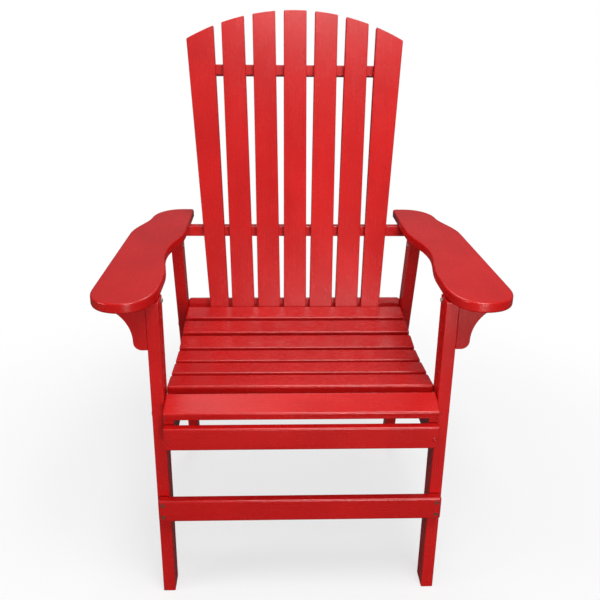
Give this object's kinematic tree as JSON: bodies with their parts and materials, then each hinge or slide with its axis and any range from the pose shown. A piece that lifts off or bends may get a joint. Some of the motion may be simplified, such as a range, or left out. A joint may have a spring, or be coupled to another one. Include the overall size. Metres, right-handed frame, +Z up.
{
  "type": "adirondack chair",
  "caption": "Tall painted wooden adirondack chair with a fanned slat back, dished slat seat, wide paddle arms on brackets and a front foot rail.",
  "frame": {"origin": "on the ground under the middle of the chair's bounding box", "axes": "+Z up, -Y the way the sitter faces, +X towards the sitter's left hand, so it is on the right when the chair is seen from the front"},
  "size_m": [0.774, 0.7093, 1.1651],
  "materials": {
    "red_paint": "satin red enamel over sanded wood",
    "zinc": "zinc plated, slightly dull",
    "screw_brown": "bronzed deck screw, paint rubbed off the head"
  },
  "bodies": {
    "root": {"front_leg_left": "red_paint", "front_leg_right": "red_paint", "rear_leg_left": "red_paint", "rear_leg_right": "red_paint", "side_rail_left": "red_paint", "side_rail_right": "red_paint", "front_apron": "red_paint", "foot_rail": "red_paint", "seat_slat_1": "red_paint", "seat_slat_2": "red_paint", "seat_slat_3": "red_paint", "seat_slat_4": "red_paint", "seat_slat_5": "red_paint", "seat_slat_6": "red_paint", "seat_slat_7": "red_paint", "back_slat_1": "red_paint", "back_slat_2": "red_paint", "back_slat_3": "red_paint", "back_slat_4": "red_paint", "back_slat_5": "red_paint", "back_slat_6": "red_paint", "back_slat_7": "red_paint", "back_top_rail": "red_paint", "back_mid_rail": "red_paint", "back_bottom_rail": "red_paint", "arm_left": "red_paint", "arm_right": "red_paint", "arm_bracket_left": "red_paint", "arm_bracket_right": "red_paint", "front_leg_bolt_lower_left": "zinc", "front_leg_bolt_upper_left": "zinc", "front_leg_bolt_lower_right": "zinc", "front_leg_bolt_upper_right": "zinc", "rear_leg_bolt_lower_left": "zinc", "rear_leg_bolt_upper_left": "zinc", "rear_leg_bolt_lower_right": "zinc", "rear_leg_bolt_upper_right": "zinc", "front_leg_nut_lower_left": "zinc", "front_leg_nut_upper_left": "zinc", "front_leg_nut_lower_right": "zinc", "front_leg_nut_upper_right": "zinc", "rear_leg_nut_lower_left": "zinc", "rear_leg_nut_upper_left": "zinc", "rear_leg_nut_lower_right": "zinc", "rear_leg_nut_upper_right": "zinc", "front_leg_arm_screw_left": "zinc", "front_leg_arm_screw_right": "zinc", "rear_leg_arm_screw_left": "zinc", "rear_leg_arm_screw_right": "zinc", "foot_rail_screw_lower_left": "screw_brown", "foot_rail_screw_upper_left": "screw_brown", "foot_rail_screw_lower_right": "screw_brown", "foot_rail_screw_upper_right": "screw_brown", "apron_screw_left": "screw_brown", "apron_screw_right": "screw_brown"}
  },
  "joints": []
}
